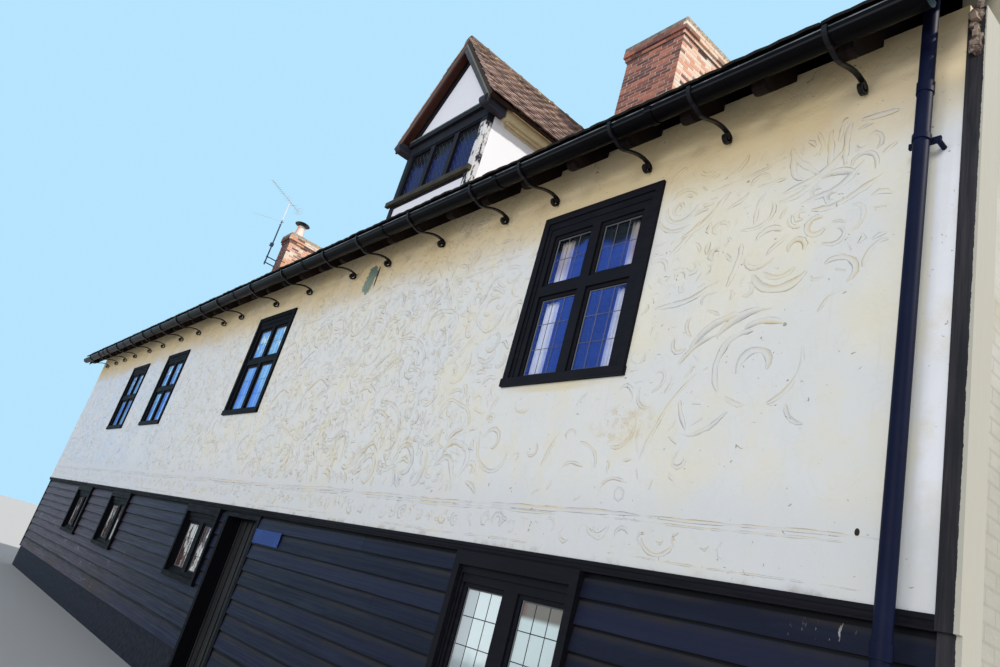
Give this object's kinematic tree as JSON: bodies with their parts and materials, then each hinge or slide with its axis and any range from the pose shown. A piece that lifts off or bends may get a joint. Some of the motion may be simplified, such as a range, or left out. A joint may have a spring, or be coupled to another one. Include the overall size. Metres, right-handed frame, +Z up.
{
  "type": "half timbered house",
  "caption": "Long jettied timber framed house with cream pargeted upper storey over black weatherboards, steep clay tile roof, gabled dormer and brick chimneys.",
  "frame": {"origin": "On the ground at the middle of the house's footprint, on the underside of its floor and walls.", "axes": "+X along the street front towards the party wall, +Y from the street front into the house, +Z up."},
  "size_m": [20.87, 7.1328, 11.32],
  "materials": {
    "plinth_tar": "tarred brick plinth, dull black",
    "floor_brick": "worn brick floor, matt",
    "old_boards": "old floor boards, waxed",
    "black_boards": "weatherboards in blue-black paint, satin",
    "dark_oak": "dark stained oak, weathered",
    "brown_oak": "brown oak, dull",
    "cream_plaster": "limewashed pargeting in cream, matt",
    "white_plaster": "white limewash, matt",
    "party_plaster": "plain render, matt",
    "clay_tile": "hand made plain clay tiles, matt",
    "ridge_clay": "half round clay ridge tiles, matt",
    "black_paint": "painted joinery, near black, satin",
    "window_glass": "leaded glass that mirrors the sky",
    "worn_stone": "worn stone step, matt",
    "door_paint": "plank door in dark paint, satin",
    "black_iron": "gloss black painted iron",
    "plate_paint": "blue enamelled plate, bare",
    "brick": "old red brick in wide pale joints",
    "cap_mortar": "weathered brick and mortar cap with lichen",
    "terracotta": "terracotta pot, matt",
    "mast_alloy": "dull alloy tube",
    "pipe_paint": "cast iron pipe in blue-black gloss"
  },
  "bodies": {
    "house": {"plinth": "plinth_tar", "ground_floor": "floor_brick", "upper_floor": "old_boards", "attic_floor": "old_boards", "front_wall_lower_left": "black_boards", "front_wall_lower_right": "black_boards", "back_wall_lower": "black_boards", "gable_wall_lower": "black_boards", "jetty_beams": "dark_oak", "front_wall_upper": "cream_plaster", "back_wall_upper": "cream_plaster", "gable_wall_upper": "cream_plaster", "party_wall": "party_plaster", "corner_post": "dark_oak", "rafters_front": "brown_oak", "rafters_back": "brown_oak", "roof_front": "clay_tile", "roof_back": "clay_tile", "ridge_tiles": "ridge_clay", "bargeboards": "black_boards", "upper_window_frames": "black_paint", "upper_glass": "window_glass", "lower_window_frames": "black_paint", "lower_glass": "window_glass", "door_frame": "black_paint", "threshold": "worn_stone", "door_pintles": "black_iron", "name_plate": "plate_paint", "dormer_frame": "dark_oak", "dormer_panels": "white_plaster", "dormer_cheeks": "white_plaster", "dormer_window": "dark_oak", "dormer_glass": "window_glass", "dormer_plates": "brown_oak", "dormer_roof": "clay_tile", "dormer_bargeboards": "dark_oak", "dormer_ridge": "ridge_clay", "large_chimney": "brick", "large_chimney_cap": "cap_mortar", "small_chimney": "brick", "small_chimney_cap": "cap_mortar", "chimney_pot": "terracotta", "pot_cowl": "black_iron", "aerial_mast": "mast_alloy", "aerial": "mast_alloy", "gutter_front": "black_iron", "gutter_back": "black_iron", "scroll_brackets": "black_iron", "vent_pipe": "pipe_paint"},
    "front_door_leaf": {"front_door": "door_paint", "door_ring": "black_iron", "door_hinges": "black_iron"}
  },
  "joints": [
    {"name": "front_door_hinge", "type": "hinge", "parent": "house", "child": "front_door_leaf", "pos_m": [2.275, -2.79, 1.1], "axis": [0, 0, 1], "range_deg": [0, 90]}
  ]
}
